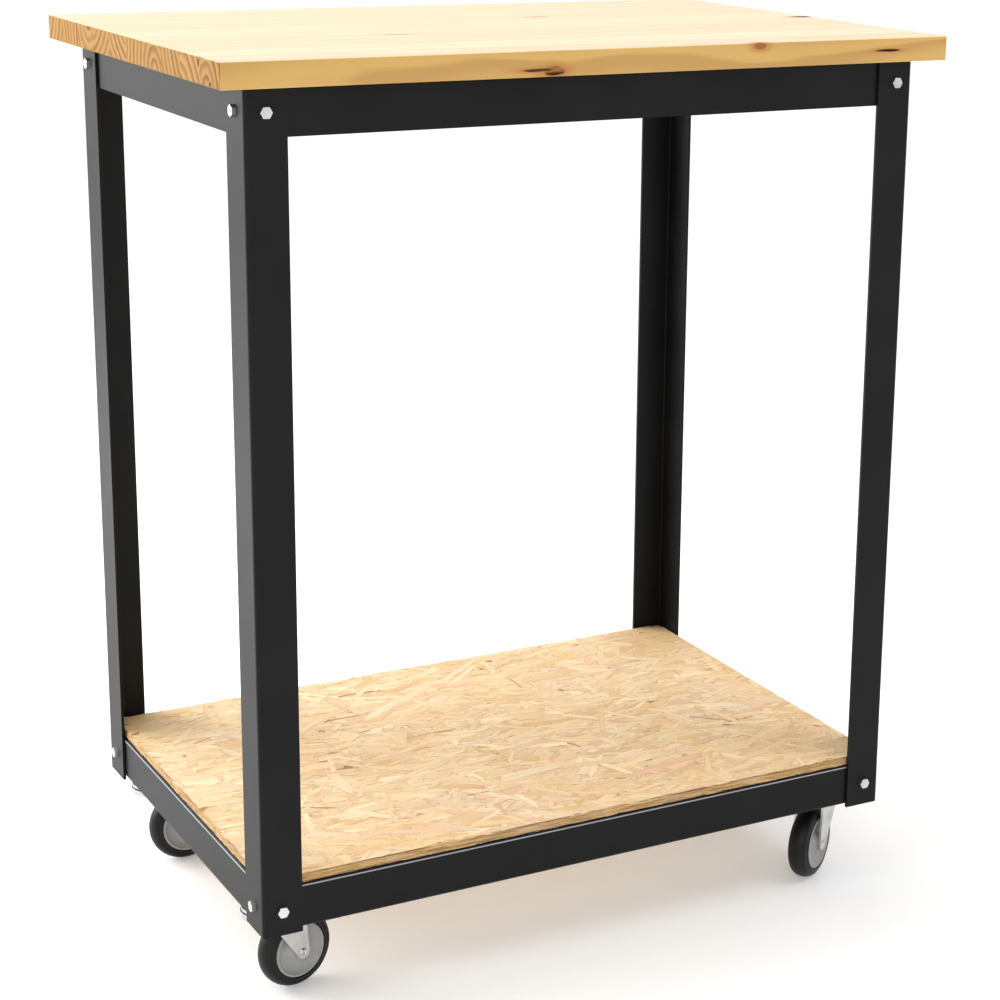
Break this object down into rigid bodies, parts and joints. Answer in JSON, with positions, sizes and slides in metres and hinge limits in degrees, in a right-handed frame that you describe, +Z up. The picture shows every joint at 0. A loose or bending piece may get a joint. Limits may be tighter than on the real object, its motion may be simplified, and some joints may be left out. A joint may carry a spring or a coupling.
{
  "type": "rolling butcher block table",
  "caption": "Edge-glued timber top on a bolted black steel angle frame with a strand board shelf below, rolling on swivel casters.",
  "frame": {"origin": "on the floor under the centre of the top", "axes": "+X along the length to the right seen from the front, +Y from front to rear, +Z up"},
  "size_m": [0.762, 0.508, 0.92],
  "materials": {
    "timber": "clear lacquered pine, satin",
    "strand_board": "pressed wood strands, sanded",
    "black_steel": "black powder coat, satin",
    "zinc": "bright zinc plate",
    "bearing_steel": "polished",
    "hub_plastic": "moulded grey",
    "tyre_rubber": "moulded black rubber"
  },
  "bodies": {
    "frame": {"top_stave_1": "timber", "top_stave_2": "timber", "top_stave_3": "timber", "top_stave_4": "timber", "top_stave_5": "timber", "top_stave_6": "timber", "top_stave_7": "timber", "top_stave_8": "timber", "top_stave_9": "timber", "top_stave_10": "timber", "leg_front_left": "black_steel", "leg_front_right": "black_steel", "leg_rear_left": "black_steel", "leg_rear_right": "black_steel", "top_rail_front": "black_steel", "shelf_rail_front": "black_steel", "top_rail_rear": "black_steel", "shelf_rail_rear": "black_steel", "top_rail_left": "black_steel", "shelf_rail_left": "black_steel", "top_rail_right": "black_steel", "shelf_rail_right": "black_steel", "shelf_board": "strand_board", "frame_bolts": "zinc", "frame_washers": "zinc", "frame_nuts": "zinc", "top_screws": "zinc", "caster_races": "zinc", "caster_washers": "zinc", "caster_nuts": "zinc", "caster_balls": "bearing_steel", "stem_front_left": "zinc", "stem_front_right": "zinc", "stem_rear_left": "zinc", "stem_rear_right": "zinc"},
    "swivel_front_left": {"fork_front_left": "zinc", "axle_front_left": "zinc", "bushing_front_left": "zinc"},
    "swivel_front_right": {"fork_front_right": "zinc", "axle_front_right": "zinc", "bushing_front_right": "zinc"},
    "swivel_rear_left": {"fork_rear_left": "zinc", "axle_rear_left": "zinc", "bushing_rear_left": "zinc"},
    "swivel_rear_right": {"fork_rear_right": "zinc", "axle_rear_right": "zinc", "bushing_rear_right": "zinc"},
    "wheel_front_left": {"hub_front_left": "hub_plastic", "tyre_front_left": "tyre_rubber"},
    "wheel_front_right": {"hub_front_right": "hub_plastic", "tyre_front_right": "tyre_rubber"},
    "wheel_rear_left": {"hub_rear_left": "hub_plastic", "tyre_rear_left": "tyre_rubber"},
    "wheel_rear_right": {"hub_rear_right": "hub_plastic", "tyre_rear_right": "tyre_rubber"}
  },
  "joints": [
    {"name": "swivel_turn_front_left", "type": "hinge", "parent": "frame", "child": "swivel_front_left", "pos_m": [-0.3298, -0.1683, 0.09], "axis": [0, 0, 1], "continuous": true},
    {"name": "wheel_roll_front_left", "type": "hinge", "parent": "swivel_front_left", "child": "wheel_front_left", "pos_m": [-0.29409, -0.1594, 0.04], "axis": [-0.2419, 0.9703, 0], "continuous": true},
    {"name": "swivel_turn_front_right", "type": "hinge", "parent": "frame", "child": "swivel_front_right", "pos_m": [0.3298, -0.1683, 0.09], "axis": [0, 0, 1], "continuous": true},
    {"name": "wheel_roll_front_right", "type": "hinge", "parent": "swivel_front_right", "child": "wheel_front_right", "pos_m": [0.29894, -0.18834, 0.04], "axis": [0.5446, -0.8387, 0], "continuous": true},
    {"name": "swivel_turn_rear_left", "type": "hinge", "parent": "frame", "child": "swivel_rear_left", "pos_m": [-0.3298, 0.1683, 0.09], "axis": [0, 0, 1], "continuous": true},
    {"name": "wheel_roll_rear_left", "type": "hinge", "parent": "swivel_rear_left", "child": "wheel_rear_left", "pos_m": [-0.29302, 0.16958, 0.04], "axis": [-0.0349, 0.9994, 0], "continuous": true},
    {"name": "swivel_turn_rear_right", "type": "hinge", "parent": "frame", "child": "swivel_rear_right", "pos_m": [0.3298, 0.1683, 0.09], "axis": [0, 0, 1], "continuous": true},
    {"name": "wheel_roll_rear_right", "type": "hinge", "parent": "swivel_rear_right", "child": "wheel_rear_right", "pos_m": [0.29409, 0.1772, 0.04], "axis": [-0.2419, -0.9703, 0], "continuous": true}
  ]
}
